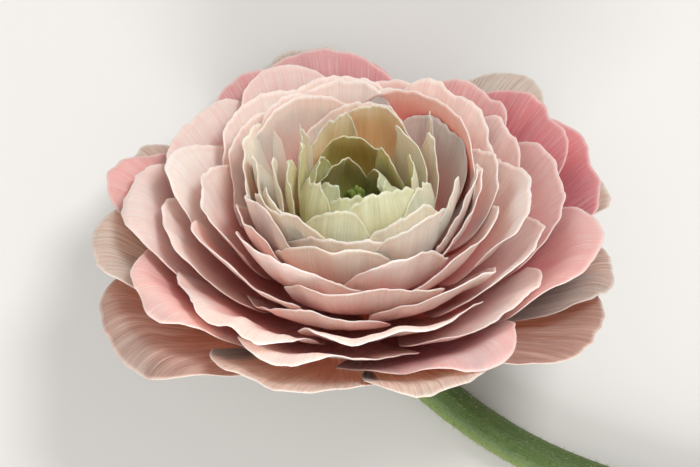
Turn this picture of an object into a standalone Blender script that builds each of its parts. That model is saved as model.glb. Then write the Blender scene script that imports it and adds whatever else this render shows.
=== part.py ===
"""A cut ranunculus flower lying on a flat surface, head leaning on its petals.

The head is built in its own frame: the origin is the middle of the receptacle,
+Z is the flower's axis and angles run round it from +X.  Petals lie on nested
shells round that axis, from the folded back guard petals to the small inner ones.
The whole flower is then laid on the surface and centred on its box.
"""
import math

import bmesh
import bpy
from mathutils import Matrix, Vector

MM = 0.001

# ---- the head as a whole -------------------------------------------------
HEAD_LEAN = math.radians(43)            # the axis leans this far from upright
HEAD_TURN = math.radians(180)           # so that the open face looks to -Y
HEAD_HEIGHT = 15.5 * MM                 # middle of the receptacle over the surface
SURFACE_SOFTNESS = 2.0 * MM             # how early a petal bends before it touches

# ---- petals --------------------------------------------------------------
GOLDEN_ANGLE = math.radians(137.5)
SPIRAL_START = math.radians(20)
SPIRAL_PETALS = 62                      # shells of the whole spiral inside the guard petals
SPIRAL_NODES = 41                       # petals of the spiral that are solids of their own
SPIRAL_HALF_WIDTH = 26                  # degrees at shell 0
SPIRAL_WIDENING = 12                    # degrees more at shell 1
WIDTH_WOBBLE = 2.0                      # degrees
ANGLE_WOBBLE = math.radians(3)
LENGTH_WOBBLE = 0.04
PETAL_THICKNESS = 0.3 * MM
PETAL_ACROSS = 6                        # faces across and along a petal
PETAL_ALONG = 6
CLAW_HALF_WIDTH = math.radians(13)
CORNER_ROUNDING = 0.26
CORNER_POWER = 2.5
CLAW_END = 0.6                          # share of the length over which a petal widens

# Where the outline dips between petals: angle and width in degrees, share of length
DIPS = ((74, 11, 0.17), (150, 17, 0.15), (270, 10, 0.10))
DIP_SHELL = 0.34                        # no dip from this shell inward

# The shells: how base, rim and slopes change from shell 0 (outermost) to shell 1.
BASE_RADIUS = (6.2 * MM, 2.4 * MM)
BASE_HEIGHT = (0.0, 5.0 * MM)
RIM_RADIUS = (45.5 * MM, 9.0 * MM)
RIM_HEIGHT = (22.0 * MM, 34.0 * MM)
BASE_SLOPE = (math.radians(80), math.radians(42))
RIM_SLOPE = (math.radians(47), math.radians(-14))
GUARD_DROP = 42.0 * MM                  # rim height lost per unit of shell below 0
GUARD_SPREAD = 9.0 * MM                 # rim radius gained per unit of shell below 0
GUARD_STEP = 7.0 * MM                   # claw height lost per unit of shell below 0
GUARD_SLOPE = math.radians(75)          # slope gained per unit of shell below 0
BASE_PULL = 0.42                        # how long a shell's curve follows its end slopes
RIM_PULL = 0.34

# Guard petals: angle in degrees, shell, half width in degrees, length
GUARDS = (
    (14, -0.06, 17, 0.97),
    (52, -0.03, 17, 1.04),
    (101, -0.06, 20, 1.00),
    (122, -0.13, 18, 0.92),
    (150, -0.09, 14, 0.94),
    (186, -0.05, 21, 0.99),
    (212, -0.18, 25, 1.04),
    (252, -0.07, 24, 0.95),
    (294, -0.03, 22, 0.97),
    (333, -0.19, 19, 1.01),
    (347, -0.115, 17, 0.98),
)
LAYERING = 14.0 * MM                    # how much higher a petal rests per unit of shell
RESTING_SHELL = -0.28                   # shells below this rest on the surface itself

# ---- receptacle, stem, sepals, heart ---------------------------------------
SEAT_GAP = 0.5 * MM                     # from the receptacle to the middle of a claw
RECEPTACLE_RINGS = 5
NECK_RINGS = (                          # radius and height, narrowing to the stem
    (5.7 * MM, -2.2 * MM),
    (5.0 * MM, -3.6 * MM),
    (3.8 * MM, -5.4 * MM),
)
STEM_RADIUS = 3.3 * MM
STEM_SIDES = 16
# Stem middle, in the laid flower's frame before its turn, from neck to cut end (mm)
STEM_ROUTE = (
    (2.2, -6.8, 9.6),
    (6.4, -10.3, 6.6),
    (11.4, -14.2, 4.8),
    (17.2, -19.0, 3.7),
    (24.1, -24.0, 3.35),
    (32.0, -28.6, 3.3),
    (40.6, -32.4, 3.3),
    (50.0, -35.6, 3.3),
    (59.8, -38.2, 3.3),
    (69.8, -40.2, 3.3),
    (79.6, -41.7, 3.3),
)
SEPALS = 5
SEPAL_START = math.radians(238)
SEPAL_LENGTH = 12.0 * MM
SEPAL_HALF_WIDTH = 4.0 * MM
SEPAL_THICKNESS = 0.5 * MM
SEPAL_BASE = (5.7 * MM, -3.3 * MM)
SEPAL_SLOPES = (math.radians(96), math.radians(124))
SEPAL_CUPPING = 0.12                    # how much a sepal's sides rise over its middle
SEPAL_ACROSS = 4                        # faces across and along a sepal
SEPAL_ALONG = 5
HEART_BASE = 5.4 * MM
HEART_TOP = 24.0 * MM
HEART_RADIUS = 3.6 * MM
HEART_STALK = 1.2 * MM
HEART_RINGS = 7
HEART_SIDES = 14

# The packed inner petals: the cup's outer and inner shell, and how far up each it goes
CUP_SHELLS = ((SPIRAL_NODES + 6) / SPIRAL_PETALS, 0.94)
CUP_REACH = (0.97, 0.90)
CUP_RINGS = 6
CUP_SIDES = 32

# ---- colours: linear red, green, blue, and roughness -------------------------
GUARD_PINK = (0.46, 0.36, 0.31)
OUTER_PINK = (0.76, 0.50, 0.48)
INNER_CREAM = (0.82, 0.70, 0.54)
STEM_GREEN = (0.06, 0.10, 0.02)
SEPAL_GREEN = (0.17, 0.19, 0.05)
HEART_GREEN = (0.22, 0.30, 0.07)
PETAL_ROUGHNESS = 0.6
GREEN_ROUGHNESS = 0.55


def clear_scene():
    for old in list(bpy.data.objects):
        bpy.data.objects.remove(old, do_unlink=True)


def mix(pair, amount):
    """The value between the two ends of a pair."""
    return pair[0] + (pair[1] - pair[0]) * amount


def material(name, colour, roughness):
    made = bpy.data.materials.new(name)
    made.use_nodes = True
    shader = made.node_tree.nodes["Principled BSDF"]
    shader.inputs["Base Color"].default_value = (*colour, 1.0)
    shader.inputs["Roughness"].default_value = roughness
    shader.inputs["Metallic"].default_value = 0.0
    return made


def smooth_step(value):
    value = min(max(value, 0.0), 1.0)
    return value * value * (3.0 - 2.0 * value)


# ---- shells ------------------------------------------------------------------
def rim_of(shell):
    """Radius, height and slope of a shell's rim."""
    inner = max(shell, 0.0)
    outer = min(shell, 0.0)
    radius = mix(RIM_RADIUS, inner) - GUARD_SPREAD * outer
    height = mix(RIM_HEIGHT, inner) + GUARD_DROP * outer
    slope = mix(RIM_SLOPE, inner) - GUARD_SLOPE * outer
    return radius, height, slope


def shell_point(shell, way):
    """Radius and height on a shell, from its base (way 0) to its rim (way 1)."""
    inner = max(shell, 0.0)
    outer = min(shell, 0.0)
    base = Vector((mix(BASE_RADIUS, inner), mix(BASE_HEIGHT, inner) + GUARD_STEP * outer))
    radius, height, rim_slope = rim_of(shell)
    rim = Vector((radius, height))
    base_slope = mix(BASE_SLOPE, inner) - 0.5 * GUARD_SLOPE * outer
    reach = (rim - base).length
    start = base + BASE_PULL * reach * Vector((math.sin(base_slope), math.cos(base_slope)))
    end = rim - RIM_PULL * reach * Vector((math.sin(rim_slope), math.cos(rim_slope)))
    back = 1.0 - way
    point = (back ** 3 * base + 3 * back * back * way * start
             + 3 * back * way * way * end + way ** 3 * rim)
    return point.x, point.y


def lay_down(point, matrix, shell):
    """Move a point of the head to the world and bend it off what it rests on."""
    laid = matrix @ point
    rest = LAYERING * max(shell - RESTING_SHELL, 0.0)
    height = laid.z - rest
    laid.z = rest + 0.5 * (height + math.sqrt(height * height + SURFACE_SOFTNESS ** 2))
    return laid


def head_matrix():
    lift = Matrix.Translation((0.0, 0.0, HEAD_HEIGHT))
    turn = Matrix.Rotation(HEAD_TURN, 4, "Z")
    lean = Matrix.Rotation(-HEAD_LEAN, 4, "X")
    return lift @ turn @ lean


def dip(angle, shell):
    """Share of a petal's length that is lost where the outline dips."""
    lost = 0.0
    for middle, width, depth in DIPS:
        away = math.remainder(angle - math.radians(middle), 2.0 * math.pi) / math.radians(width)
        lost += depth * math.exp(-away * away)
    return lost * (1.0 - smooth_step(shell / DIP_SHELL))


# ---- pieces --------------------------------------------------------------------
def new_piece(name, bm, root, finish, thickness=0.0):
    """Make an object from a bmesh; a sheet gets its thickness from Solidify."""
    bmesh.ops.recalc_face_normals(bm, faces=bm.faces)
    mesh = bpy.data.meshes.new(name)
    bm.to_mesh(mesh)
    bm.free()
    piece = bpy.data.objects.new(name, mesh)
    bpy.context.collection.objects.link(piece)
    piece.parent = root
    mesh.materials.append(finish)
    if thickness:
        wall = piece.modifiers.new("Thickness", "SOLIDIFY")
        wall.thickness = thickness
        wall.offset = 0.0
    return piece


def petal_sheet(angle, shell, half_width, length, matrix):
    """A grid laid on a shell: narrow at the claw, wide and rounded at the tip."""
    bm = bmesh.new()
    bmesh.ops.create_grid(bm, x_segments=PETAL_ACROSS, y_segments=PETAL_ALONG, size=1.0)
    for vert in bm.verts:
        across = vert.co.x
        along = 0.5 * (vert.co.y + 1.0)
        way = length * along * (1.0 - CORNER_ROUNDING * abs(across) ** CORNER_POWER)
        spread = CLAW_HALF_WIDTH + (half_width - CLAW_HALF_WIDTH) * smooth_step(way / CLAW_END)
        turn = angle + across * spread
        if shell > 0.0:
            way *= 1.0 - dip(turn, shell) * along
        radius, height = shell_point(shell, way)
        place = Vector((radius * math.cos(turn), radius * math.sin(turn), height))
        vert.co = lay_down(place, matrix, shell)
    return bm


def wobble(index, kind):
    """A repeatable number from -1 to 1 for one petal and one kind of change."""
    return math.sin(index * (2.3 + 1.1 * kind) + 1.7 * kind)


def spiral_petal(index):
    """Angle, shell, half width and length of one petal of the spiral."""
    shell = (index + 1) / SPIRAL_PETALS
    angle = SPIRAL_START + index * GOLDEN_ANGLE + ANGLE_WOBBLE * wobble(index, 0)
    half_width = math.radians(SPIRAL_HALF_WIDTH + SPIRAL_WIDENING * shell
                              + WIDTH_WOBBLE * wobble(index, 1))
    length = 1.0 + LENGTH_WOBBLE * wobble(index, 2)
    return angle, shell, half_width, length


def all_petals():
    """Every petal that is a solid of its own, from the outside in."""
    petals = []
    for angle, shell, half_width, length in GUARDS:
        petals.append((math.radians(angle), shell, math.radians(half_width), length))
    for index in range(SPIRAL_NODES):
        petals.append(spiral_petal(index))
    return petals


def build_petals(root, matrix):
    guard = material("guard_petal", GUARD_PINK, PETAL_ROUGHNESS)
    outer = material("pink_petal", OUTER_PINK, PETAL_ROUGHNESS)
    for number, (angle, shell, half_width, length) in enumerate(all_petals(), start=1):
        finish = guard if number <= len(GUARDS) else outer
        bm = petal_sheet(angle, shell, half_width, length, matrix)
        new_piece(f"petal_{number:02d}", bm, root, finish, PETAL_THICKNESS)


def ring_edges(bm, points):
    verts = [bm.verts.new(point) for point in points]
    return [bm.edges.new(pair) for pair in zip(verts, verts[1:] + verts[:1])]


def skin_rings(rings):
    """One closed solid from rings of points: bridged sides and two flat caps."""
    bm = bmesh.new()
    edges_of = [ring_edges(bm, points) for points in rings]
    for lower, upper in zip(edges_of, edges_of[1:]):
        bmesh.ops.bridge_loops(bm, edges=lower + upper)
    bmesh.ops.holes_fill(bm, edges=bm.edges, sides=0)
    return bm


def skin_loop(rings):
    """One closed solid from rings of points, the last of them bridged to the first."""
    bm = bmesh.new()
    edges_of = [ring_edges(bm, points) for points in rings]
    for lower, upper in zip(edges_of, edges_of[1:] + edges_of[:1]):
        bmesh.ops.bridge_loops(bm, edges=lower + upper)
    return bm


def circle_points(centre, radius, across, up, sides):
    points = []
    for k in range(sides):
        angle = 2.0 * math.pi * k / sides
        points.append(centre + radius * (math.cos(angle) * across + math.sin(angle) * up))
    return points


def head_ring(radius, height, sides, matrix):
    centre = matrix @ Vector((0.0, 0.0, height))
    turn = matrix.to_3x3()
    across = turn @ Vector((1, 0, 0))
    up = turn @ Vector((0, 1, 0))
    return circle_points(centre, radius, across, up, sides)


def build_stem(root, matrix):
    """The stem and the receptacle on its end, which grew as one piece."""
    rings = []
    for k in range(RECEPTACLE_RINGS):
        shell = 1.0 - k / (RECEPTACLE_RINGS - 1)
        slope = Vector((BASE_HEIGHT[1] - BASE_HEIGHT[0], BASE_RADIUS[0] - BASE_RADIUS[1]))
        inward = SEAT_GAP * slope.normalized()
        radius = mix(BASE_RADIUS, shell) - inward.x
        height = mix(BASE_HEIGHT, shell) - inward.y
        rings.append(head_ring(radius, height, STEM_SIDES, matrix))
    for radius, height in NECK_RINGS:
        rings.append(head_ring(radius, height, STEM_SIDES, matrix))
    turn = Matrix.Rotation(HEAD_TURN, 3, "Z")
    route = [turn @ (Vector(point) * MM) for point in STEM_ROUTE]
    across = matrix.to_3x3() @ Vector((1, 0, 0))
    before = matrix @ Vector((0.0, 0.0, NECK_RINGS[-1][1]))
    for k, point in enumerate(route):
        after = route[k + 1] if k + 1 < len(route) else point
        along = (after - before).normalized()
        across = (across - across.dot(along) * along).normalized()
        up = along.cross(across)
        # up runs the other way round than in the head, so the ring is turned over
        rings.append(circle_points(point, STEM_RADIUS, across, -up, STEM_SIDES))
        before = point
    finish = material("stem_skin", STEM_GREEN, GREEN_ROUGHNESS)
    new_piece("stem", skin_rings(rings), root, finish)


def build_sepals(root, matrix):
    finish = material("sepal_skin", SEPAL_GREEN, GREEN_ROUGHNESS)
    for number in range(SEPALS):
        angle = SEPAL_START + number * 2.0 * math.pi / SEPALS
        bm = bmesh.new()
        bmesh.ops.create_grid(bm, x_segments=SEPAL_ACROSS, y_segments=SEPAL_ALONG, size=1.0)
        for vert in bm.verts:
            along = 0.5 * (vert.co.y + 1.0)
            # widest at half its length, and still broad at its base
            width = SEPAL_HALF_WIDTH * (0.45 + 0.55 * math.sin(math.pi * (0.15 + 0.75 * along)))
            slope = mix(SEPAL_SLOPES, 0.5 * along)
            radius = SEPAL_BASE[0] + SEPAL_LENGTH * along * math.sin(slope)
            height = SEPAL_BASE[1] + SEPAL_LENGTH * along * math.cos(slope)
            side = vert.co.x * width
            height += SEPAL_CUPPING * abs(side)
            place = Vector((radius, side, height))
            place = Matrix.Rotation(angle, 3, "Z") @ place
            vert.co = lay_down(place, matrix, RESTING_SHELL)
        new_piece(f"sepal_{number + 1}", bm, root, finish, SEPAL_THICKNESS)


def build_heart(root, matrix):
    """The cone of carpels in the middle of the flower, on its short stalk."""
    rings = []
    for k in range(HEART_RINGS):
        way = k / (HEART_RINGS - 1)
        bulge = math.sin(math.pi * min(0.08 + 0.86 * way, 1.0)) ** 0.7
        radius = HEART_STALK + (HEART_RADIUS - HEART_STALK) * bulge
        height = mix((HEART_BASE, HEART_TOP), way)
        rings.append(head_ring(radius, height, HEART_SIDES, matrix))
    finish = material("heart_skin", HEART_GREEN, GREEN_ROUGHNESS)
    new_piece("heart", skin_rings(rings), root, finish)


def build_inner_petals(root, matrix):
    """The packed inner petals, joined: one cup between the last shells."""
    rings = []
    for shell, ways in ((CUP_SHELLS[0], (0.0, CUP_REACH[0])), (CUP_SHELLS[1], (CUP_REACH[1], 0.0))):
        for k in range(CUP_RINGS):
            radius, height = shell_point(shell, mix(ways, k / (CUP_RINGS - 1)))
            rings.append(head_ring(radius, height, CUP_SIDES, matrix))
    finish = material("cream_petal", INNER_CREAM, PETAL_ROUGHNESS)
    new_piece("inner_petals", skin_loop(rings), root, finish)


def rest_on_surface(root):
    """Put the middle of the flower's box on the origin and its lowest point at 0."""
    bpy.context.view_layer.update()
    depsgraph = bpy.context.evaluated_depsgraph_get()
    corners = []
    for piece in root.children:
        shaped = piece.evaluated_get(depsgraph)
        mesh = shaped.to_mesh()
        corners.extend(shaped.matrix_world @ vert.co for vert in mesh.vertices)
        shaped.to_mesh_clear()
    low = Vector(min(corner[axis] for corner in corners) for axis in range(3))
    high = Vector(max(corner[axis] for corner in corners) for axis in range(3))
    root.location -= Vector((0.5 * (low.x + high.x), 0.5 * (low.y + high.y), low.z))
    bpy.context.view_layer.update()


def main():
    clear_scene()
    root = bpy.data.objects.new("flower", None)
    bpy.context.collection.objects.link(root)
    matrix = head_matrix()
    build_stem(root, matrix)
    build_sepals(root, matrix)
    build_heart(root, matrix)
    build_inner_petals(root, matrix)
    build_petals(root, matrix)
    rest_on_surface(root)


main()
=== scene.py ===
"""Looks of the cut ranunculus: petals, heart, sepals, stem, hairs and the stage.

The head is worked out in its own frame, with its origin in the middle of the
receptacle and +Z along the flower's axis, and is then laid down as the solids are.
"""
import math
import random
from collections import namedtuple

import bmesh
import bpy
from bpy.props import FloatProperty, FloatVectorProperty, IntProperty, PointerProperty
from mathutils import Matrix, Vector, noise


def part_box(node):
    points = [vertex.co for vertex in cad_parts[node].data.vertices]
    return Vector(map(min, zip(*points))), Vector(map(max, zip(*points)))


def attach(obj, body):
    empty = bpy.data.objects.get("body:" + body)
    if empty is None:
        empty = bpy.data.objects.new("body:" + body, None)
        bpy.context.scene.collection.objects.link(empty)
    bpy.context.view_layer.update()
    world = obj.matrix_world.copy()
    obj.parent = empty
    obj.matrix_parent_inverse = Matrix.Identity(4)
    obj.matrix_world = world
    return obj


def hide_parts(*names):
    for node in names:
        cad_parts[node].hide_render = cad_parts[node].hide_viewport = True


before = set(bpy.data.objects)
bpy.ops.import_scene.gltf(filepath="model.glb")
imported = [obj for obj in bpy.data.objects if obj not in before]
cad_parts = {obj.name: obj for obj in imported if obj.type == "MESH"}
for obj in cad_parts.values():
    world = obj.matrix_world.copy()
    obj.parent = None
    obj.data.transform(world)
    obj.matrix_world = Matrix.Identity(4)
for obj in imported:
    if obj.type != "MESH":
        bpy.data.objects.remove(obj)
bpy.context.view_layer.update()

bl_info = {
    "name": "Cut Ranunculus",
    "version": (1, 0, 0),
    "blender": (4, 5, 0),
    "location": "View3D > Sidebar > Ranunculus",
    "description": "Petals, heart, sepals and stem of a cut double ranunculus",
    "category": "Object",
}

MM = 0.001
BODY = "root"

# ---- the head, as the solids have it ---------------------------------------
HEAD_LEAN = math.radians(43)
HEAD_TURN = math.radians(180)
HEAD_HEIGHT = 15.5 * MM
SURFACE_SOFTNESS = 2.0 * MM
HEART_MIDDLE = 14.62 * MM               # middle of the heart's box, along the axis
HEAD_MIDDLE = 18.0 * MM                 # a point of the axis well inside the petals
LAYERING = 14.0 * MM
RESTING_SHELL = -0.28

GOLDEN_ANGLE = math.radians(137.5)
SPIRAL_START = math.radians(20)
SPIRAL_PETALS = 62
SPIRAL_NODES = 41
SPIRAL_END = 47                         # from here inward the heart's own petals begin
SPIRAL_HALF_WIDTH = 26                  # degrees at shell 0
SPIRAL_WIDENING = 12                    # degrees more at shell 1
CLAW_HALF_WIDTH = math.radians(13)
CLAW_END = 0.6                          # share of the length over which a petal widens

BASE_RADIUS = (6.2 * MM, 2.4 * MM)
BASE_HEIGHT = (0.0, 5.0 * MM)
RIM_RADIUS = (45.5 * MM, 9.0 * MM)
RIM_HEIGHT = (22.0 * MM, 34.0 * MM)
BASE_SLOPE = (math.radians(80), math.radians(42))
RIM_SLOPE = (math.radians(47), math.radians(-14))
GUARD_DROP = 42.0 * MM
GUARD_SPREAD = 9.0 * MM
GUARD_STEP = 7.0 * MM
GUARD_SLOPE = math.radians(75)
BASE_PULL = 0.42                        # how long a petal's curve follows its end slopes
RIM_PULL = 0.34
NOISE_STEP = 7.31                       # keeps one petal's waves apart from the next one's
HEART_SEED = 200                        # added to a heart petal's number
ROLL_START = 0.87                       # the margin rolls back from here to the tip

# Where the outline dips between petals: angle and width in degrees, share of length
DIPS = ((74, 11, 0.17), (150, 17, 0.15), (270, 10, 0.10))
DIP_SHELL = 0.34                        # no dip from this shell inward

# Guard petals: angle in degrees, shell, half width in degrees, length
GUARDS = (
    (14, -0.06, 17, 0.97),
    (52, -0.03, 17, 1.04),
    (101, -0.06, 20, 1.00),
    (122, -0.13, 18, 0.92),
    (150, -0.09, 14, 0.94),
    (186, -0.05, 21, 0.99),
    (212, -0.18, 25, 1.04),
    (252, -0.07, 24, 0.95),
    (294, -0.03, 22, 0.97),
    (333, -0.19, 19, 1.01),
    (347, -0.115, 17, 0.98),
)

# Petals round the heart, from the outside in: angle and half width in degrees, radius
# and height of the tip in mm, slope of the tip in degrees, pointedness, skew, tone
# (0.58 peach, 0.86 cream, 1.05 lime) and how far the deep colour climbs, which is partly
# painted shade inside the cups and hoods.
HEART_PETALS = (
    (96, 33, 22.0, 31.0, 0, 0.0, 0.0, 0.58, 0.5),
    (205, 30, 20.0, 31.0, 2, 0.3, 0.3, 0.66, 0.4),
    (343, 24, 21.0, 31.5, 0, 0.5, 0.4, 0.62, 0.4),
    (128, 42, 19.2, 31.5, -10, 0.0, 0.0, 0.64, 0.75),
    (38, 50, 19.6, 33.0, -26, 0.0, 0.0, 0.60, 1.15),
    (262, 36, 17.8, 29.5, -8, 0.0, 0.2, 0.70, 0.2),
    (178, 20, 18.0, 33.0, 2, 0.8, 0.1, 0.76, 0.4),
    (330, 28, 17.4, 32.0, -12, 0.5, 0.6, 0.80, 0.3),
    (224, 36, 16.2, 31.0, -12, 0.3, -0.5, 0.84, 0.3),
    (300, 36, 15.4, 30.6, -20, 0.0, 0.2, 0.84, 0.2),
    (33, 7, 15.8, 34.4, -12, 0.6, 0.7, 0.74, 0.2),
    (190, 22, 13.8, 32.6, -6, 0.6, -0.3, 0.88, 0.3),
    (75, 34, 13.6, 32.2, -30, 0.0, 0.0, 0.80, 1.1),
    (10, 30, 13.6, 32.6, -14, 0.6, 0.5, 0.86, 0.3),
    (142, 11, 11.4, 34.0, -4, 0.9, 0.0, 0.82, 0.4),
    (322, 32, 12.8, 30.8, -26, 0.1, 0.3, 0.95, 0.3),
    (250, 34, 12.4, 30.4, -32, 0.1, 0.3, 0.98, 0.3),
    (110, 24, 10.8, 32.8, -25, 0.2, -0.3, 0.90, 0.9),
    (14, 40, 8.4, 35.0, -48, 0.75, 0.75, 0.88, 0.2),
    (186, 22, 11.2, 31.8, -12, 0.2, 0.0, 0.97, 0.3),
    (160, 18, 9.6, 32.8, -8, 0.6, 0.2, 0.99, 0.4),
    (296, 46, 10.2, 32.2, -38, 0.0, 0.0, 1.00, 0.2),
    (216, 30, 8.2, 31.4, -25, 0.2, 0.0, 1.03, 0.3),
    (355, 32, 8.8, 32.0, -26, 0.7, 0.3, 0.98, 0.3),
    (88, 42, 7.2, 30.0, -48, 0.1, 0.3, 1.02, 1.1),
    (150, 40, 6.2, 29.4, -40, 0.4, 0.2, 1.08, 0.7),
    (30, 40, 6.0, 30.2, -38, 0.6, 0.4, 1.00, 0.5),
    (265, 52, 6.0, 28.6, -46, 0.1, 0.0, 1.08, 0.7),
    (335, 44, 4.8, 28.4, -44, 0.5, 0.0, 1.05, 0.7),
    (120, 50, 4.2, 27.8, -52, 0.3, 0.0, 1.10, 0.8),
    (210, 50, 3.8, 27.4, -52, 0.4, 0.0, 1.10, 0.8),
    (20, 56, 3.2, 27.0, -56, 0.3, 0.0, 1.10, 0.8),
)
LIME_TONE = 0.86                        # petals past this tone turn green
LIT_SIDE = math.radians(250)           # painted light: pink petals on this side of the head are painted paler, those on the far side rosier and darker
LIT_SIDE_TONE = 0.28
SHADED_OUTER_SHELLS = 0.2                  # shells that stay rosy on the lit side too, painted as in shade

# ---- stem, sepals and heart ---------------------------------------------------
# The receptacle's rings (radius, height) and the stem's route are in mm, as the solids have it
RECEPTACLE_RINGS = ((1.9, 4.6), (5.7, -0.3), (5.7, -2.2), (5.0, -3.6), (3.8, -5.6))
STEM_ROUTE = (
    (2.2, -6.8, 9.6),
    (6.4, -10.3, 6.6),
    (11.4, -14.2, 4.8),
    (17.2, -19.0, 3.7),
    (24.1, -24.0, 3.35),
    (32.0, -28.6, 3.3),
    (40.6, -32.4, 3.3),
    (50.0, -35.6, 3.3),
    (59.8, -38.2, 3.3),
    (69.8, -40.2, 3.3),
    (79.6, -41.7, 3.3),
)
NECK_END = -5.4 * MM
STEM_RADIUS = 3.3 * MM
STEM_STEPS = 5                          # rings from one point of the route to the next
STEM_SIDES = 48
STEM_SWELL = 0.5 * MM                   # how much thicker the stem is at the receptacle
STEM_RIBS = 9
RIB_HEIGHT = 0.05 * MM
BARE_RINGS = 6                          # no hairs on the stem before this ring
SEPALS = 5
SEPAL_START = math.radians(238)
SEPAL_LENGTH = 12.0 * MM
SEPAL_HALF_WIDTH = 4.0 * MM
SEPAL_THICKNESS = 0.5 * MM
SEPAL_BASE = (5.7 * MM, -3.3 * MM)
SEPAL_SLOPES = (math.radians(96), math.radians(124))
SEPAL_COLUMNS = 18
SEPAL_ROWS = 24
LIT_FLANK = Vector((0.45, 0.75, -0.2)).normalized()  # painted light: side of the stem that is painted paler, as lit
HAIR_RADIUS = 0.035 * MM
HAIR_SIDES = 3
HAIR_CLEARANCE = 0.1 * MM               # no hair reaches lower than this
HEART_BASE = 5.4 * MM
HEART_TOP = 24.0 * MM
HEART_RADIUS = 3.6 * MM
CARPELS = 90
CARPEL_SIZE = (0.75 * MM, 0.55 * MM, 1.35 * MM)

# ---- the stage --------------------------------------------------------------------
LAMPS = (                               # name, way from the head in metres, size, watts
    ("key", (-0.45, -0.50, 1.05), 0.45, 9.5),
    ("fill", (0.15, 1.10, 0.42), 0.70, 14.5),
)
WORLD_COLOUR = (1.0, 0.98, 0.96)
WORLD_STRENGTH = 0.70
FLOOR_COLOUR = (0.60, 0.59, 0.57)
FLOOR_HALF_SIZE = 3.0
LENS = 180.0
SENSOR_WIDTH = 36.0
CAMERA_RISE = math.radians(85)
VIEW_WIDTH = 123.2 * MM                 # how much the view takes in at the head
VIEW_TARGET = 18.6 * MM                 # along the flower's axis
VIEW_SHIFT = Vector((1.0, 3.2, 0.0)) * MM

Petal = namedtuple("Petal", "name node angle shell half_width length seed kind point skew"
                            " curve tone depth")
Curve = namedtuple("Curve", "base start end rim")


# ---- user settings ---------------------------------------------------------------
class RanunculusShape(bpy.types.PropertyGroup):
    """Sizes of the petals and hairs"""

    thickness: FloatProperty(
        name="Petal Thickness", description="Wall of one petal",
        default=0.17 * MM, unit="LENGTH")
    ruffle: FloatProperty(
        name="Ruffle", description="How far a petal's margin waves in and out",
        default=0.70 * MM, unit="LENGTH")
    roll: FloatProperty(
        name="Margin Roll", description="How far an outer petal's margin rolls back",
        default=math.radians(58), subtype="ANGLE")
    columns: IntProperty(
        name="Columns", description="Faces across one petal", default=44)
    rows: IntProperty(
        name="Rows", description="Faces along one petal", default=38)
    hair: FloatProperty(
        name="Hair Length", description="Longest hair on the stem and sepals",
        default=1.1 * MM, unit="LENGTH")
    hairs: IntProperty(
        name="Hairs", description="Hairs on the stem", default=2400)
    sepal_hairs: IntProperty(
        name="Sepal Hairs", description="Hairs on one sepal", default=260)


def colour(name, description, value):
    return FloatVectorProperty(
        name=name, description=description, default=value, subtype="COLOR",
        size=3, min=0.0, max=1.0)


class RanunculusColours(bpy.types.PropertyGroup):
    """Colours of the flower, linear"""

    guard: colour("Guard Petals", "Dusty blade of the outer petals", (0.49, 0.44, 0.39))
    # painted shade: the darker blade of the lowest guards, which lie under the others, and the
    # guards' bases
    shaded_guard: colour("Lowest Guards", "Darker blade of the lowest petals", (0.26, 0.21, 0.185))
    dust: colour("Bruise", "Dark streaks of the outermost petals", (0.20, 0.13, 0.10))
    # rose is partly painted shade: its dark rosy blade is what the petals on the head's shaded side
    # take
    rose: colour("Rose", "Blade of the outer petals", (0.51, 0.23, 0.25))
    # deep_rose, deep_peach, deep_cream and olive: each petal's own deeper base, and also painted
    # shade where they climb into the gaps between petals and inside the heart's cups
    deep_rose: colour("Deep Rose", "Base of the outer petals", (0.70, 0.06, 0.10))
    peach: colour("Peach", "Blade of the middle petals", (0.97, 0.81, 0.73))
    deep_peach: colour("Deep Peach", "Base of the middle petals", (0.95, 0.30, 0.27))
    cream: colour("Cream", "Blade of the inner petals", (0.92, 0.83, 0.66))
    deep_cream: colour("Deep Cream", "Base of the inner petals", (0.74, 0.52, 0.24))
    lime: colour("Lime", "Innermost petals", (0.78, 0.75, 0.36))
    olive: colour("Olive", "Base of the innermost petals", (0.30, 0.30, 0.05))
    # edge is also painted light: the highlights between the fine fibres and, partly, the line along
    # the rim
    edge: colour("Margin", "Pale line along a petal's edge", (0.92, 0.84, 0.78))
    leaf: colour("Stem", "Green skin of the stem", (0.045, 0.085, 0.014))
    # the stem's paler green, also used as painted light on its lit flank
    pale_and_lit_leaf: colour("Stem Flank", "Paler green of the stem", (0.14, 0.19, 0.05))
    sepal: colour("Sepal", "Yellow brown of the sepals", (0.20, 0.19, 0.05))
    hair: colour("Hairs", "Hairs on the stem and sepals", (0.42, 0.44, 0.24))
    heart: colour("Heart", "Green of the carpels", (0.24, 0.32, 0.06))


# ---- shells ------------------------------------------------------------------------
def mix(pair, amount):
    return pair[0] + (pair[1] - pair[0]) * amount


def smooth_step(value):
    value = min(max(value, 0.0), 1.0)
    return value * value * (3.0 - 2.0 * value)


def head_matrix():
    lift = Matrix.Translation((0.0, 0.0, HEAD_HEIGHT))
    turn = Matrix.Rotation(HEAD_TURN, 4, "Z")
    lean = Matrix.Rotation(-HEAD_LEAN, 4, "X")
    return lift @ turn @ lean


def flower_shift():
    """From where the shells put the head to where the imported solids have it."""
    low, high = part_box("heart")
    middle = 0.5 * (Vector(low) + Vector(high))
    return middle - head_matrix() @ Vector((0.0, 0.0, HEART_MIDDLE))


HEAD = head_matrix()
SHIFT = flower_shift()


def bent_curve(base, base_slope, rim, rim_slope):
    """A petal's middle line, radius and height, from its claw to its tip."""
    reach = (rim - base).length
    start = base + BASE_PULL * reach * Vector((math.sin(base_slope), math.cos(base_slope)))
    end = rim - RIM_PULL * reach * Vector((math.sin(rim_slope), math.cos(rim_slope)))
    return Curve(base, start, end, rim)


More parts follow.
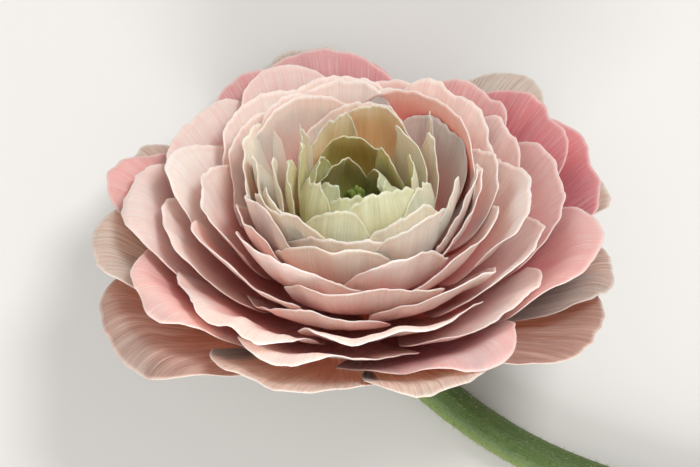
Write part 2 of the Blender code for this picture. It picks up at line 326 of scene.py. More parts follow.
def shell_curve(shell):
    inner = max(shell, 0.0)
    outer = min(shell, 0.0)
    base = Vector((mix(BASE_RADIUS, inner), mix(BASE_HEIGHT, inner) + GUARD_STEP * outer))
    rim = Vector((mix(RIM_RADIUS, inner) - GUARD_SPREAD * outer,
                  mix(RIM_HEIGHT, inner) + GUARD_DROP * outer))
    return bent_curve(base, mix(BASE_SLOPE, inner) - 0.5 * GUARD_SLOPE * outer,
                      rim, mix(RIM_SLOPE, inner) - GUARD_SLOPE * outer)


def curve_point(curve, way):
    back = 1.0 - way
    return (back ** 3 * curve.base + 3 * back * back * way * curve.start
            + 3 * back * way * way * curve.end + way ** 3 * curve.rim)


def curve_frame(curve, way):
    """A point of a petal's middle line, the way along it and the way out of it."""
    step = 0.002
    here = curve_point(curve, way)
    along = (curve_point(curve, way + step) - here).normalized()
    return here, along, Vector((along.y, -along.x))


def rolled_point(curve, way, roll, out):
    """A point of the middle line, whose tip rolls outward, moved out of the petal."""
    here, along, away = curve_frame(curve, min(way, ROLL_START))
    if way > ROLL_START:
        reach = (curve.rim - curve.base).length
        left = (way - ROLL_START) * reach
        bend = roll / ((1.02 - ROLL_START) * reach)
        angle = bend * left
        if abs(bend) > 1e-6:
            here = here + along * (math.sin(angle) / bend) + away * ((1 - math.cos(angle)) / bend)
        else:
            here = here + along * left
        away = away * math.cos(angle) - along * math.sin(angle)
    return here + away * out


def lay_down(place, shell):
    laid = HEAD @ place
    rest = LAYERING * max(shell - RESTING_SHELL, 0.0)
    height = laid.z - rest
    laid.z = rest + 0.5 * (height + math.sqrt(height * height + SURFACE_SOFTNESS ** 2))
    return laid + SHIFT


def wobble(index, kind):
    return math.sin(index * (2.3 + 1.1 * kind) + 1.7 * kind)


def dip(angle, shell):
    """Share of a petal's length that is lost where the outline dips."""
    lost = 0.0
    for middle, width, depth in DIPS:
        away = math.remainder(angle - math.radians(middle), 2.0 * math.pi) / math.radians(width)
        lost += depth * math.exp(-away * away)
    return lost * (1.0 - smooth_step(shell / DIP_SHELL))


# ---- petals ---------------------------------------------------------------------------
def guard_list():
    petals = []
    for number, (angle, shell, half_width, length) in enumerate(GUARDS, start=1):
        petals.append(Petal(
            f"guard_petal_{number:02d}", f"petal_{number:02d}", math.radians(angle), shell,
            math.radians(half_width), length, number, "guard", 0.1, 0.3 * wobble(number, 3),
            shell_curve(shell), shell, 0.4))
    return petals


def lit_side_tone(angle, shell):
    """A pink petal's tone, with painted light: the head is painted paler on its lit side and rosier
    and darker on its shaded side.
    """
    side = math.cos(angle - LIT_SIDE)
    if side > 0.0:
        side *= smooth_step(shell / SHADED_OUTER_SHELLS)
    return shell + LIT_SIDE_TONE * side * (1.0 - shell)


def spiral_list():
    petals = []
    for index in range(SPIRAL_END):
        shell = (index + 1) / SPIRAL_PETALS
        angle = SPIRAL_START + index * GOLDEN_ANGLE + math.radians(3) * wobble(index, 0)
        half_width = math.radians(SPIRAL_HALF_WIDTH + SPIRAL_WIDENING * shell
                                  + 2.0 * wobble(index, 1))
        length = 1.0 + 0.04 * wobble(index, 2)
        number = len(GUARDS) + index + 1
        kind = "pink" if index < SPIRAL_NODES else "cream"
        node = f"petal_{number:02d}" if kind == "pink" else "inner_petals"
        point = 0.55 * max(0.0, wobble(index, 9))
        # the tone carries painted light: paler on the head's lit side, rosier and darker on its
        # shaded side
        petals.append(Petal(
            f"{kind}_petal_{number:02d}", node, angle, shell, half_width, length, number,
            kind, point, 0.35 * wobble(number, 3), shell_curve(shell),
            lit_side_tone(angle, shell), 0.72 + 0.15 * wobble(index, 5)))
    return petals


def heart_list():
    petals = []
    for number, row in enumerate(HEART_PETALS, start=1):
        angle, half_width, radius, height, slope, point, skew, tone, depth = row
        shell = (RIM_RADIUS[0] - radius * MM) / (RIM_RADIUS[0] - RIM_RADIUS[1])
        inner = min(shell, 1.0)
        base = Vector((mix(BASE_RADIUS, inner), mix(BASE_HEIGHT, inner)))
        curve = bent_curve(base, mix(BASE_SLOPE, inner),
                           Vector((radius, height)) * MM, math.radians(slope))
        petals.append(Petal(
            f"heart_petal_{number:02d}", "inner_petals", math.radians(angle), shell,
            math.radians(half_width), 1.0, HEART_SEED + number, "heart", point, skew, curve,
            tone, depth))
    return petals


def inner_share(petal):
    """0 for the guard and outermost petals, 1 for the innermost ones."""
    return min(max(petal.shell, 0.0), 1.0)


def petal_outline(petal, across, along):
    """How far along its middle line a point of a petal lies, and its angle round the head."""
    inner = inner_share(petal)
    seed = petal.seed * NOISE_STEP
    lean = across - petal.skew * (1 - across * across)
    # rounded corners, which meet in a point on some petals
    corner = 0.24 + 0.05 * wobble(petal.seed, 4) + 0.06 * inner ** 3 + 0.14 * petal.point
    power = 2.7 - 1.4 * petal.point
    way = petal.length * along * (1.0 - corner * abs(lean) ** power)
    spread = CLAW_HALF_WIDTH + (petal.half_width - CLAW_HALF_WIDTH) * smooth_step(way / CLAW_END)
    turn = petal.angle + across * spread
    if petal.kind != "guard":
        way *= 1.0 - dip(turn, petal.shell) * along
    # a ragged margin, with one dent in it on some petals
    ragged = 0.014 * noise.noise(Vector((across * 3.0, seed, 0.0)))
    ragged += (0.007 + 0.016 * inner) * noise.noise(Vector((across * 9.0, seed, 3.0)))
    ragged += 0.006 * (0.4 + inner) * noise.noise(Vector((across * 26.0, seed, 6.0)))
    dent = 0.035 * max(0.0, wobble(petal.seed, 5)) * math.exp(-((lean + 0.1) / 0.2) ** 2)
    return way - along ** 3 * (ragged + dent), turn


def petal_relief(petal, across, along, way, ruffle):
    """How far out of its shell a point lies: the margin waves and the sides curl."""
    seed = petal.seed * NOISE_STEP
    free = smooth_step((way - 0.35) / 0.6)
    wave = noise.noise(Vector((across * 2.1 + seed, along * 1.6, 1.0))) * 1.7
    wave += 0.7 * noise.noise(Vector((across * 5.0 + seed, along * 2.2, 5.0)))
    out = ruffle * free * wave * (1.15 - 0.35 * inner_share(petal))
    # one side lies further out than the other, so that petals can overlap in turn
    out += free * 0.6 * MM * across * wobble(petal.seed, 6)
    out -= free * 0.7 * MM * abs(across) ** 3 * (0.4 + 0.6 * wobble(petal.seed, 11))
    return out + 0.10 * MM * free * noise.noise(Vector((across * 16.0, seed, along * 1.5)))


def margin_roll(petal, across, roll):
    """How far the margin rolls back: most on the outer petals and on the raised side."""
    raised = 1.0 - 0.5 * math.sin(petal.angle)
    turned = roll * raised * (1.0 - smooth_step(petal.shell / 0.62)) + math.radians(8)
    uneven = 0.5 * noise.noise(Vector((across * 1.5, petal.seed * NOISE_STEP, 9.0)))
    return max(turned * (0.75 + 0.35 * wobble(petal.seed, 7) + uneven), 0.0)


def petal_place(petal, across, along, shape):
    """Where one point of a petal lies; across is -1 to 1 and along is 0 to 1."""
    way, turn = petal_outline(petal, across, along)
    out = petal_relief(petal, across, along, way, shape.ruffle)
    flat = rolled_point(petal.curve, way, margin_roll(petal, across, shape.roll), out)
    return lay_down(Vector((flat.x * math.cos(turn), flat.x * math.sin(turn), flat.y)), petal.shell)


def petal_mesh(petal, shape):
    bm = bmesh.new()
    bmesh.ops.create_grid(bm, x_segments=shape.columns, y_segments=shape.rows, size=1.0,
                          calc_uvs=True)
    uv = bm.loops.layers.uv.active or bm.loops.layers.uv.new("UVMap")
    for face in bm.faces:
        for loop in face.loops:
            loop[uv].uv = (0.5 * (loop.vert.co.x + 1.0), 0.5 * (loop.vert.co.y + 1.0))
    for vert in bm.verts:
        vert.co = petal_place(petal, vert.co.x, 0.5 * (vert.co.y + 1.0), shape)
    bmesh.ops.recalc_face_normals(bm, faces=bm.faces)
    bm.normal_update()
    bm.faces.ensure_lookup_table()
    axis_point = HEAD @ Vector((0.0, 0.0, HEAD_MIDDLE)) + SHIFT
    middle = bm.faces[len(bm.faces) // 2 + shape.columns // 2]
    if middle.normal.dot(middle.calc_center_median() - axis_point) < 0:
        bmesh.ops.reverse_faces(bm, faces=bm.faces)
        bm.normal_update()
    values = {"outer": 1.0, "tone": petal.tone, "depth": petal.depth,
              "chance": 0.5 + 0.5 * wobble(petal.seed, 8)}
    layers = {name: bm.verts.layers.float.new(name) for name in values}
    for vert in bm.verts:
        for name, value in values.items():
            vert[layers[name]] = value
    grown = bmesh.ops.solidify(bm, geom=bm.faces[:], thickness=shape.thickness)
    values["outer"] = 0.0
    for part in grown["geom"]:
        if isinstance(part, bmesh.types.BMVert):
            for name, value in values.items():
                part[layers[name]] = value
    bmesh.ops.recalc_face_normals(bm, faces=bm.faces)
    return bm


def add_piece(name, bm, finish, nodes):
    mesh = bpy.data.meshes.new(name)
    bm.to_mesh(mesh)
    bm.free()
    mesh.shade_smooth()
    piece = bpy.data.objects.new(name, mesh)
    bpy.context.collection.objects.link(piece)
    mesh.materials.append(finish)
    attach(piece, BODY)
    if nodes:
        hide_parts(*nodes)
    return piece


# ---- materials -----------------------------------------------------------------------
class Nodes:
    """Short ways to add nodes to one material."""

    def __init__(self, name):
        self.material = bpy.data.materials.new(name)
        self.material.use_nodes = True
        self.tree = self.material.node_tree
        self.shader = self.tree.nodes["Principled BSDF"]

    def put(self, socket, value):
        if isinstance(value, bpy.types.NodeSocket):
            self.tree.links.new(value, socket)
        elif socket.type == "RGBA" and len(value) == 3:
            socket.default_value = (*value, 1.0)
        else:
            socket.default_value = value

    def add(self, kind, **inputs):
        node = self.tree.nodes.new(kind)
        for name, value in inputs.items():
            self.put(node.inputs[name], value)
        return node

    def math(self, operation, first, second=0.0):
        node = self.tree.nodes.new("ShaderNodeMath")
        node.operation = operation
        self.put(node.inputs[0], first)
        self.put(node.inputs[1], second)
        return node.outputs[0]

    def blend(self, amount, first, second):
        node = self.tree.nodes.new("ShaderNodeMix")
        node.data_type = "RGBA"
        self.put(node.inputs[0], amount)
        self.put(node.inputs[6], first)
        self.put(node.inputs[7], second)
        return node.outputs[2]

    def span(self, value, low, high, start=0.0, end=1.0):
        node = self.tree.nodes.new("ShaderNodeMapRange")
        node.interpolation_type = "SMOOTHSTEP"
        self.put(node.inputs[0], value)
        for socket, number in zip(node.inputs[1:5], (low, high, start, end)):
            socket.default_value = number
        return node.outputs[0]

    def attribute(self, name):
        node = self.tree.nodes.new("ShaderNodeAttribute")
        node.attribute_name = name
        return node.outputs["Fac"]

    def noise(self, vector, scale, detail, rough):
        node = self.add("ShaderNodeTexNoise", Vector=vector, Scale=scale, Detail=detail,
                        Roughness=rough)
        return node.outputs["Fac"]

    def fan(self, across, along, chance, lines, waves):
        """A place on a petal for patterns that run from its claw to its margin."""
        node = self.tree.nodes.new("ShaderNodeCombineXYZ")
        self.put(node.inputs[0], self.math("MULTIPLY", across, lines))
        self.put(node.inputs[1], self.math("MULTIPLY", along, waves))
        self.put(node.inputs[2], self.math("MULTIPLY", chance, 40.0))
        return node.outputs[0]

    def object_place(self):
        return self.tree.nodes.new("ShaderNodeTexCoord").outputs["Object"]

    def bump(self, height, strength, distance, normal=None):
        node = self.add("ShaderNodeBump", Strength=strength, Distance=distance, Height=height)
        if normal is not None:
            self.put(node.inputs["Normal"], normal)
        return node.outputs[0]


def petal_patterns(made, across, along):
    """Patterns from claw to margin: fine fibres, veins and broad folds; then a grain."""
    chance = made.attribute("chance")
    return {
        "fine": made.noise(made.fan(across, along, chance, 230.0, 5.0), 1.0, 3.0, 0.6),
        "veins": made.noise(made.fan(across, along, chance, 95.0, 2.0), 1.0, 4.0, 0.62),
        "folds": made.noise(made.fan(across, along, chance, 15.0, 1.4), 1.0, 3.0, 0.55),
        "grain": made.noise(made.object_place(), 2600.0, 2.0, 0.6),
    }


def petal_skin(made, across, along, patterns, blade, root, colours, dust):
    """Colour of a petal: deep at its root, where the deep colour climbing into the gaps is partly
    painted shade; paler on its outer face, the inner face kept darker partly as painted shade; with
    veins, painted highlights between the fine fibres, a painted shadow band inside the margin and a
    pale edge line that is partly a painted highlight.
    """
    fine, veins, folds = patterns["fine"], patterns["veins"], patterns["folds"]
    outer = made.attribute("outer")
    blotch = made.noise(made.object_place(), 90.0, 2.0, 0.5)
    # partly painted shade: the deep root colour climbs as far as the depth attribute says, which is
    # the petal's own deeper base and also shade painted deep in the gaps and inside the cups; on the
    # outer face it climbs less
    deep = made.math("SUBTRACT", made.attribute("depth"), made.math("MULTIPLY", outer, 0.45))
    climb = made.math("SUBTRACT", along, made.math("MULTIPLY", deep, 0.55))
    skin = made.blend(made.span(climb, 0.06, 0.64), root, blade)
    skin = made.blend(made.span(blotch, 0.35, 0.7, 0.0, 0.12), skin, root)
    # the outer face is paler: partly the petal's own paler back, partly painted shade kept on the
    # inner faces, which face the other petals
    pale = made.blend(0.55 - 0.7 * dust, blade, colours.edge)
    skin = made.blend(made.math("MULTIPLY", outer, 0.55), skin, pale)
    skin = made.blend(made.span(veins, 0.46, 0.70, 0.0, 0.24), skin, root)
    skin = made.blend(made.span(fine, 0.5, 0.70, 0.0, 0.20), skin, root)
    # painted highlights: lighter between the fine fibres
    skin = made.blend(made.span(fine, 0.5, 0.3, 0.0, 0.24), skin, colours.edge)
    if dust:
        skin = made.blend(made.span(folds, 0.46, 0.66, 0.0, dust), skin, colours.guard)
        skin = made.blend(made.span(veins, 0.50, 0.66, 0.0, dust), skin, colours.dust)
        skin = made.blend(made.span(fine, 0.50, 0.66, 0.0, dust), skin, colours.dust)
    # a painted shadow band inside the margin, and a pale line on the margin itself, partly the
    # margin's own paler colour and partly a painted highlight along the rim
    sides = made.math("ABSOLUTE", made.math("SUBTRACT", across, 0.5))
    band = made.math("MAXIMUM", made.span(sides, 0.46, 0.485), made.span(along, 0.93, 0.97))
    shade = made.blend(0.5, root, colours.guard)
    skin = made.blend(made.math("MULTIPLY", band, 0.16), skin, shade)
    line = made.math("MAXIMUM", made.span(sides, 0.490, 0.499), made.span(along, 0.984, 0.997))
    return made.blend(made.math("MULTIPLY", line, 0.26), skin, colours.edge)


def petal_material(name, blades, roots, colours, first_tone, last_tone, dust):
    """Petal skin. blades and roots are each a pair: for the first and the last tone."""
    made = Nodes(name)
    uv = made.tree.nodes.new("ShaderNodeUVMap").outputs[0]
    split = made.add("ShaderNodeSeparateXYZ", Vector=uv)
    across, along = split.outputs[0], split.outputs[1]
    patterns = petal_patterns(made, across, along)
    inward = made.span(made.attribute("tone"), first_tone, last_tone)
    blade = made.blend(inward, blades[0], blades[1])
    root = made.blend(inward, roots[0], roots[1])
    skin = petal_skin(made, across, along, patterns, blade, root, colours, dust)
    made.put(made.shader.inputs["Base Color"], skin)
    made.put(made.shader.inputs["Roughness"], made.span(patterns["grain"], 0.3, 0.7, 0.50, 0.68))
    normal = made.bump(patterns["folds"], 0.55, 0.5 * MM)
    normal = made.bump(patterns["veins"], 0.80, 0.18 * MM, normal)
    normal = made.bump(patterns["fine"], 0.75, 0.09 * MM, normal)
    normal = made.bump(patterns["grain"], 0.3, 0.04 * MM, normal)
    made.put(made.shader.inputs["Normal"], normal)
    made.shader.inputs["Specular IOR Level"].default_value = 0.30
    made.shader.inputs["Subsurface Weight"].default_value = 0.60
    made.shader.inputs["Subsurface Radius"].default_value = (1.0, 0.5, 0.4)
    made.shader.inputs["Subsurface Scale"].default_value = 1.4 * MM
    made.shader.inputs["Sheen Weight"].default_value = 0.12
    return made.material


def green_material(name, dark, pale, rough=0.55):
    """Plant skin; ribs follow the piece's UV map, and a paler flank its own attribute: painted light
    on the stem's lit side, the yellower sides on the sepals.
    """
    made = Nodes(name)
    place = made.object_place()
    uv = made.tree.nodes.new("ShaderNodeUVMap").outputs[0]
    split = made.add("ShaderNodeSeparateXYZ", Vector=uv)
    blotch = made.noise(place, 120.0, 3.0, 0.6)
    grain = made.noise(place, 2200.0, 3.0, 0.6)
    ribs = made.noise(made.fan(split.outputs[0], split.outputs[1], blotch, 46.0, 9.0), 1.0, 3.0, 0.6)
    flank = made.span(made.attribute("flank"), 0.25, 0.95)
    skin = made.blend(made.span(ribs, 0.42, 0.70, 0.0, 0.45), dark, pale)
    skin = made.blend(made.span(blotch, 0.45, 0.75, 0.0, 0.25), skin, pale)
    # painted light on the stem: its lit flank is painted paler; on the sepals the yellower sides
    skin = made.blend(made.math("MULTIPLY", flank, 0.85), skin, pale)
    made.put(made.shader.inputs["Base Color"], skin)
    made.put(made.shader.inputs["Roughness"], made.span(grain, 0.3, 0.7, rough - 0.08, rough + 0.1))
    normal = made.bump(ribs, 0.45, 0.15 * MM)
    made.put(made.shader.inputs["Normal"], made.bump(grain, 0.35, 0.06 * MM, normal))
    made.shader.inputs["Specular IOR Level"].default_value = 0.35
    made.shader.inputs["Subsurface Weight"].default_value = 0.1
    made.shader.inputs["Subsurface Radius"].default_value = (0.5, 1.0, 0.3)
    made.shader.inputs["Subsurface Scale"].default_value = 1.0 * MM
    return made.material


def hair_material(name, tint):
    made = Nodes(name)
    tone = made.noise(made.object_place(), 400.0, 2.0, 0.5)
    made.put(made.shader.inputs["Base Color"],
             made.blend(made.span(tone, 0.3, 0.7), tint * 0.7, tint * 1.25))
    made.shader.inputs["Roughness"].default_value = 0.5
    return made.material


# ---- hairs --------------------------------------------------------------------------
def hairy_mesh(spots, length, generator):
    """Thin leaning spikes. spots are points with the way out of the skin and the way it grows."""
    bm = bmesh.new()
    for point, out, grow in spots:
        tall = length * generator.uniform(0.45, 1.0)
        lean = out + 0.5 * grow + 0.5 * Vector(generator.uniform(-1, 1) for _ in range(3))
        tip = point + lean.normalized() * tall
        if tip.z < HAIR_CLEARANCE:
            continue
        turn = (tip - point).to_track_quat("Z", "Y").to_matrix().to_4x4()
        spike = Matrix.Translation(0.5 * (point + tip)) @ turn
        bmesh.ops.create_cone(bm, cap_ends=True, segments=HAIR_SIDES, radius1=HAIR_RADIUS,
                              radius2=0.15 * HAIR_RADIUS, depth=tall, matrix=spike)
    return bm


# ---- stem ------------------------------------------------------------------------------
def stem_path():
    """Points from inside the receptacle to the cut end, in the world."""
    turn = Matrix.Rotation(HEAD_TURN, 3, "Z")
    route = [turn @ (Vector(point) * MM) + SHIFT for point in STEM_ROUTE]
    neck = HEAD @ Vector((0.0, 0.0, NECK_END)) + SHIFT
    before = HEAD @ Vector((0.0, 0.0, -1.0 * MM)) + SHIFT
    knots = [before, neck] + route
    path = []
    for k in range(1, len(knots) - 1):
        far = knots[min(k + 2, len(knots) - 1)]
        for j in range(STEM_STEPS):
            path.append(spline_point(knots[k - 1], knots[k], knots[k + 1], far, j / STEM_STEPS))
    path.append(knots[-1])
    return path


def spline_point(before, start, end, after, way):
    """Catmull-Rom point between start and end."""
    square, cube = way * way, way ** 3
    return 0.5 * ((2 * start) + (end - before) * way
                  + (2 * before - 5 * start + 4 * end - after) * square
                  + (3 * start - before - 3 * end + after) * cube)


def tube(path, radii, sides, first_across):
    """Bridged rings along a path with flat ends; one flank is marked as the lit one, which is
    painted paler as painted light.
    """
    bm = bmesh.new()
    flank = bm.verts.layers.float.new("flank")
    turned = bm.verts.layers.float.new("turned")
    way = bm.verts.layers.float.new("way")
    across = first_across
    rings = []
    for k, point in enumerate(path):
        after = path[min(k + 1, len(path) - 1)]
        before = path[max(k - 1, 0)]
        along = (after - before).normalized()
        across = (across - across.dot(along) * along).normalized()
        up = along.cross(across)
        verts = []
        for j in range(sides):
            angle = 2.0 * math.pi * j / sides
            out = math.cos(angle) * across + math.sin(angle) * up
            vert = bm.verts.new(point + radii(k, angle) * out)
            # painted light: the flank facing the lit side is marked for a paler colour
            vert[flank] = max(0.0, out.dot(LIT_FLANK))
            vert[turned] = min(j, sides - j) / sides
            vert[way] = k / len(path)
            verts.append(vert)
        rings.append([bm.edges.new((verts[j], verts[(j + 1) % sides])) for j in range(sides)])
    for lower, upper in zip(rings, rings[1:]):
        bmesh.ops.bridge_loops(bm, edges=lower + upper)
    bmesh.ops.holes_fill(bm, edges=bm.edges, sides=0)
    bmesh.ops.recalc_face_normals(bm, faces=bm.faces)
    uv = bm.loops.layers.uv.new("UVMap")
    for face in bm.faces:
        for loop in face.loops:
            loop[uv].uv = (2.0 * loop.vert[turned], loop.vert[way])
    return bm


def receptacle_mesh():
    """The swollen end of the stem, which the petals sit on."""
    bm = bmesh.new()
    bm.verts.layers.float.new("flank")
    edges_of = []
    for radius, height in RECEPTACLE_RINGS:
        made = bmesh.ops.create_circle(bm, segments=STEM_SIDES, radius=radius * MM,
                                       matrix=Matrix.Translation((0, 0, height * MM)))
        edges_of.append(list({edge for vert in made["verts"] for edge in vert.link_edges}))
    for lower, upper in zip(edges_of, edges_of[1:]):
        bmesh.ops.bridge_loops(bm, edges=lower + upper)
    bmesh.ops.holes_fill(bm, edges=bm.edges, sides=0)
    bmesh.ops.recalc_face_normals(bm, faces=bm.faces)
    bmesh.ops.transform(bm, matrix=Matrix.Translation(SHIFT) @ HEAD, verts=bm.verts)
    return bm


def stem_hair_spots(path, count, generator):
    """Roots of the hairs along the stem, all round it."""
    spots = []
    for _ in range(count):
        k = generator.randrange(BARE_RINGS, len(path) - 1)
        along = (path[k + 1] - path[k]).normalized()
        point = path[k].lerp(path[k + 1], generator.random())
        out = along.orthogonal().normalized()
        out.rotate(Matrix.Rotation(generator.uniform(0, 2 * math.pi), 3, along))
        spots.append((point + STEM_RADIUS * out, out, along))
    return spots


# ---- operators ---------------------------------------------------------------------------
def settings():
    scene = bpy.context.scene
    return scene.ranunculus_shape, scene.ranunculus_colours


class RANUNCULUS_OT_guard_petals(bpy.types.Operator):
    """Make the dusty outermost petals"""

    bl_idname = "ranunculus.guard_petals"
    bl_label = "Guard Petals"

    def execute(self, context):
        shape, colours = settings()
        # the lowest guards and the guards' bases are darkened as painted shade
        finish = petal_material("guard_petal_skin", (colours.shaded_guard, colours.guard),
                                (colours.dust, colours.shaded_guard), colours,
                                -0.18, -0.04, 0.40)
        for petal in guard_list():
            add_piece(petal.name, petal_mesh(petal, shape), finish, [petal.node])
        return {"FINISHED"}


class RANUNCULUS_OT_pink_petals(bpy.types.Operator):
    """Make the rose and peach petals of the outer spiral"""

    bl_idname = "ranunculus.pink_petals"
    bl_label = "Pink Petals"

    def execute(self, context):
        shape, colours = settings()
        finish = petal_material("pink_petal_skin", (colours.rose, colours.peach),
                                (colours.deep_rose, colours.deep_peach), colours,
                                -0.16, 0.42, 0.0)
        for petal in spiral_list():
            if petal.kind == "pink":
                add_piece(petal.name, petal_mesh(petal, shape), finish,
                          [petal.node])
        return {"FINISHED"}


class RANUNCULUS_OT_cream_petals(bpy.types.Operator):
    """Make the cream and pale green inner petals"""

    bl_idname = "ranunculus.cream_petals"
    bl_label = "Cream Petals"

    def execute(self, context):
        shape, colours = settings()
        cream = petal_material("cream_petal_skin", (colours.peach, colours.cream),
                               (colours.deep_peach, colours.deep_cream), colours,
                               0.58, 0.86, 0.0)
        for petal in spiral_list():
            if petal.kind == "cream":
                add_piece(petal.name, petal_mesh(petal, shape), cream,
                          [petal.node])
        return {"FINISHED"}


class RANUNCULUS_OT_heart_petals(bpy.types.Operator):
    """Make the small ragged petals that close round the heart"""

    bl_idname = "ranunculus.heart_petals"
    bl_label = "Heart Petals"

    def execute(self, context):
        shape, colours = settings()
        cream = bpy.data.materials["cream_petal_skin"]
        lime = petal_material("lime_petal_skin", (colours.cream, colours.lime),
                              (colours.deep_cream, colours.olive), colours,
                              0.86, 1.05, 0.0)
        for petal in heart_list():
            finish = lime if petal.tone > LIME_TONE else cream
            add_piece(petal.name, petal_mesh(petal, shape), finish,
                      [petal.node])
        return {"FINISHED"}


class RANUNCULUS_OT_heart(bpy.types.Operator):
    """Make the cone of green carpels in the middle"""

    bl_idname = "ranunculus.heart"
    bl_label = "Heart"

    def execute(self, context):
        colours = settings()[1]
        finish = green_material("carpel_skin", colours.heart * 0.6, colours.heart * 1.4)
        head = Matrix.Translation(SHIFT) @ HEAD
        bm = bmesh.new()
        for index in range(CARPELS):
            way = (index + 0.5) / CARPELS
            height = mix((HEART_BASE, HEART_TOP), way)
            radius = HEART_RADIUS * math.sin(math.pi * (0.10 + 0.84 * way)) ** 0.7
            turn = Matrix.Rotation(index * GOLDEN_ANGLE, 4, "Z")
            place = Matrix.Translation((radius - 0.6 * MM, 0.0, height))
            lean = Matrix.Rotation(math.radians(70 - 60 * way), 4, "Y")
            size = Matrix.Diagonal((*CARPEL_SIZE, 1.0))
            bmesh.ops.create_icosphere(bm, subdivisions=2, radius=1.0,
                                       matrix=head @ turn @ place @ lean @ size)
        middle = Matrix.Translation((0.0, 0.0, mix((HEART_BASE, HEART_TOP), 0.5)))
        size = Matrix.Diagonal((0.8 * HEART_RADIUS, 0.8 * HEART_RADIUS,
                                0.47 * (HEART_TOP - HEART_BASE), 1.0))
        bmesh.ops.create_icosphere(bm, subdivisions=3, radius=1.0, matrix=head @ middle @ size)
        add_piece("carpels", bm, finish, ["heart"])
        return {"FINISHED"}


class RANUNCULUS_OT_sepals(bpy.types.Operator):
    """Make the five hairy green sepals"""

    bl_idname = "ranunculus.sepals"
    bl_label = "Sepals"

    def execute(self, context):
        shape, colours = settings()
        finish = green_material("sepal_skin", colours.leaf, colours.sepal)
        fluff = hair_material("sepal_hair_skin", colours.hair)
        generator = random.Random(5)
        for number in range(SEPALS):
            bm = sepal_mesh(number)
            spots = []
            faces = bm.faces[:]
            for _ in range(shape.sepal_hairs):
                face = generator.choice(faces)
                spots.append((face.calc_center_median(), face.normal.copy(), -face.normal * 0.2))
            add_piece(f"green_sepal_{number + 1}", bm, finish,
                      [f"sepal_{number + 1}"])
            add_piece(f"sepal_hairs_{number + 1}",
                      hairy_mesh(spots, 0.8 * shape.hair, generator), fluff, [])
        return {"FINISHED"}


def sepal_mesh(number):
    """One sepal, whose sides are yellower than its middle."""
    bm = bmesh.new()
    bmesh.ops.create_grid(bm, x_segments=SEPAL_COLUMNS, y_segments=SEPAL_ROWS, size=1.0,
                          calc_uvs=True)
    flank = bm.verts.layers.float.new("flank")
    for vert in bm.verts:
        vert[flank] = 0.35 + 0.65 * abs(vert.co.x) ** 2
        vert.co = sepal_place(number, vert.co.x, 0.5 * (vert.co.y + 1.0))
    bmesh.ops.recalc_face_normals(bm, faces=bm.faces)
    bm.normal_update()
    bmesh.ops.solidify(bm, geom=bm.faces[:], thickness=SEPAL_THICKNESS)
    bmesh.ops.recalc_face_normals(bm, faces=bm.faces)
    bm.normal_update()
    return bm


def sepal_place(number, across, along):
    """A point of a sepal: broad at its base, pointed at its tip, cupped and a little wavy."""
    angle = SEPAL_START + number * 2.0 * math.pi / SEPALS
    width = SEPAL_HALF_WIDTH * (0.45 + 0.55 * math.sin(math.pi * (0.15 + 0.75 * along)))
    width *= 1.0 - 0.55 * along ** 4
    slope = mix(SEPAL_SLOPES, 0.5 * along)
    radius = SEPAL_BASE[0] + SEPAL_LENGTH * along * math.sin(slope)
    height = SEPAL_BASE[1] + SEPAL_LENGTH * along * math.cos(slope)
    side = across * width
    height += 0.12 * abs(side) + 0.25 * MM * along * math.sin(5.0 * across + 2.0 * number)
    place = Matrix.Rotation(angle, 3, "Z") @ Vector((radius, side, height))
    return lay_down(place, RESTING_SHELL)


class RANUNCULUS_OT_stem(bpy.types.Operator):
    """Make the stem with the receptacle on its end, and its hairs"""

    bl_idname = "ranunculus.stem"
    bl_label = "Stem"

    def execute(self, context):
        shape, colours = settings()
        # the stem's lit flank is painted paler as painted light
        finish = green_material("stem_skin", colours.leaf, colours.pale_and_lit_leaf)
        path = stem_path()
        across = HEAD.to_3x3() @ Vector((1, 0, 0))

        def radius(k, angle):
            swell = STEM_SWELL * math.exp(-k / 2.0)
            return STEM_RADIUS + swell + RIB_HEIGHT * math.sin(STEM_RIBS * angle)

        add_piece("green_stem", tube(path, radius, STEM_SIDES, across), finish,
                  ["stem"])
        generator = random.Random(3)
        spots = stem_hair_spots(path, shape.hairs, generator)
        fluff = hair_material("stem_hair_skin", colours.hair)
        add_piece("stem_hairs", hairy_mesh(spots, shape.hair, generator), fluff, [])
        add_piece("receptacle", receptacle_mesh(), finish, ["stem"])
        return {"FINISHED"}


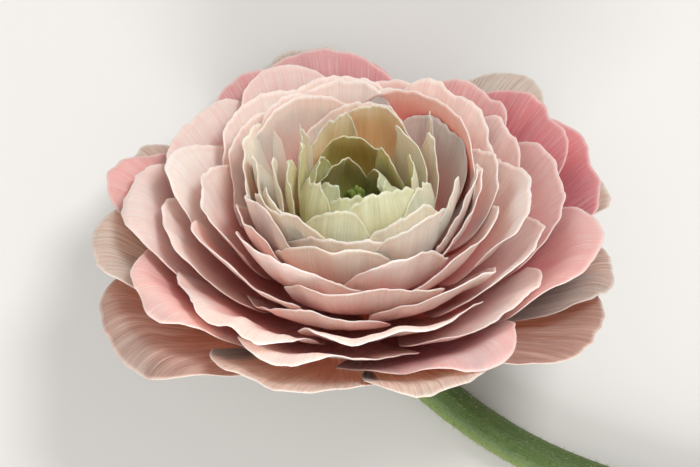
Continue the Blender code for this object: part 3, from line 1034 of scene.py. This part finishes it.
class RANUNCULUS_OT_stage(bpy.types.Operator):
    """Make the floor, the lights and the camera"""

    bl_idname = "ranunculus.stage"
    bl_label = "Stage"

    def execute(self, context):
        scene = context.scene
        bm = bmesh.new()
        bmesh.ops.create_grid(bm, x_segments=1, y_segments=1, size=FLOOR_HALF_SIZE)
        mesh = bpy.data.meshes.new("floor")
        bm.to_mesh(mesh)
        bm.free()
        floor = bpy.data.objects.new("floor", mesh)
        scene.collection.objects.link(floor)
        made = Nodes("pale_floor")
        made.shader.inputs["Base Color"].default_value = (*FLOOR_COLOUR, 1.0)
        made.shader.inputs["Roughness"].default_value = 0.9
        mesh.materials.append(made.material)

        target = HEAD @ Vector((0.0, 0.0, VIEW_TARGET)) + SHIFT
        for name, way, size, power in LAMPS:
            add_light(name, target, way, size, power)
        world = bpy.data.worlds.new("soft_world")
        world.use_nodes = True
        background = world.node_tree.nodes["Background"]
        background.inputs["Color"].default_value = (*WORLD_COLOUR, 1.0)
        background.inputs["Strength"].default_value = WORLD_STRENGTH
        scene.world = world
        scene.view_settings.view_transform = "Standard"

        lens = bpy.data.cameras.new("camera")
        lens.lens = LENS
        lens.sensor_width = SENSOR_WIDTH
        lens.clip_start = 0.01
        camera = bpy.data.objects.new("camera", lens)
        scene.collection.objects.link(camera)
        distance = VIEW_WIDTH * LENS / SENSOR_WIDTH
        away = Vector((0.0, math.cos(CAMERA_RISE), math.sin(CAMERA_RISE))) * distance
        camera.location = target + away + VIEW_SHIFT
        camera.rotation_euler = (math.radians(90) - CAMERA_RISE, 0.0, math.pi)
        scene.camera = camera
        return {"FINISHED"}


def add_light(name, target, way, size, power):
    lamp = bpy.data.lights.new(name, "AREA")
    lamp.shape = "DISK"
    lamp.size = size
    lamp.energy = power
    made = bpy.data.objects.new(name, lamp)
    bpy.context.scene.collection.objects.link(made)
    made.location = target + Vector(way)
    made.rotation_euler = (-Vector(way)).to_track_quat("-Z", "Y").to_euler()


class RANUNCULUS_PT_panel(bpy.types.Panel):
    """Buttons for the flower's pieces"""

    bl_label = "Ranunculus"
    bl_idname = "RANUNCULUS_PT_panel"
    bl_space_type = "VIEW_3D"
    bl_region_type = "UI"
    bl_category = "Ranunculus"

    def draw(self, context):
        layout = self.layout
        for group in settings():
            for name in group.__annotations__:
                layout.prop(group, name)
        for operator in OPERATORS:
            layout.operator(operator.bl_idname)


OPERATORS = (
    RANUNCULUS_OT_stage,
    RANUNCULUS_OT_stem,
    RANUNCULUS_OT_sepals,
    RANUNCULUS_OT_heart,
    RANUNCULUS_OT_guard_petals,
    RANUNCULUS_OT_pink_petals,
    RANUNCULUS_OT_cream_petals,
    RANUNCULUS_OT_heart_petals,
)
CLASSES = (RanunculusShape, RanunculusColours) + OPERATORS + (RANUNCULUS_PT_panel,)


def register():
    for item in CLASSES:
        bpy.utils.register_class(item)
    bpy.types.Scene.ranunculus_shape = PointerProperty(type=RanunculusShape)
    bpy.types.Scene.ranunculus_colours = PointerProperty(type=RanunculusColours)


def unregister():
    del bpy.types.Scene.ranunculus_colours
    del bpy.types.Scene.ranunculus_shape
    for item in reversed(CLASSES):
        bpy.utils.unregister_class(item)


def main():
    register()
    bpy.ops.ranunculus.stage()
    bpy.ops.ranunculus.stem()
    bpy.ops.ranunculus.sepals()
    bpy.ops.ranunculus.heart()
    bpy.ops.ranunculus.guard_petals()
    bpy.ops.ranunculus.pink_petals()
    bpy.ops.ranunculus.cream_petals()
    bpy.ops.ranunculus.heart_petals()


if __name__ == "__main__":
    main()
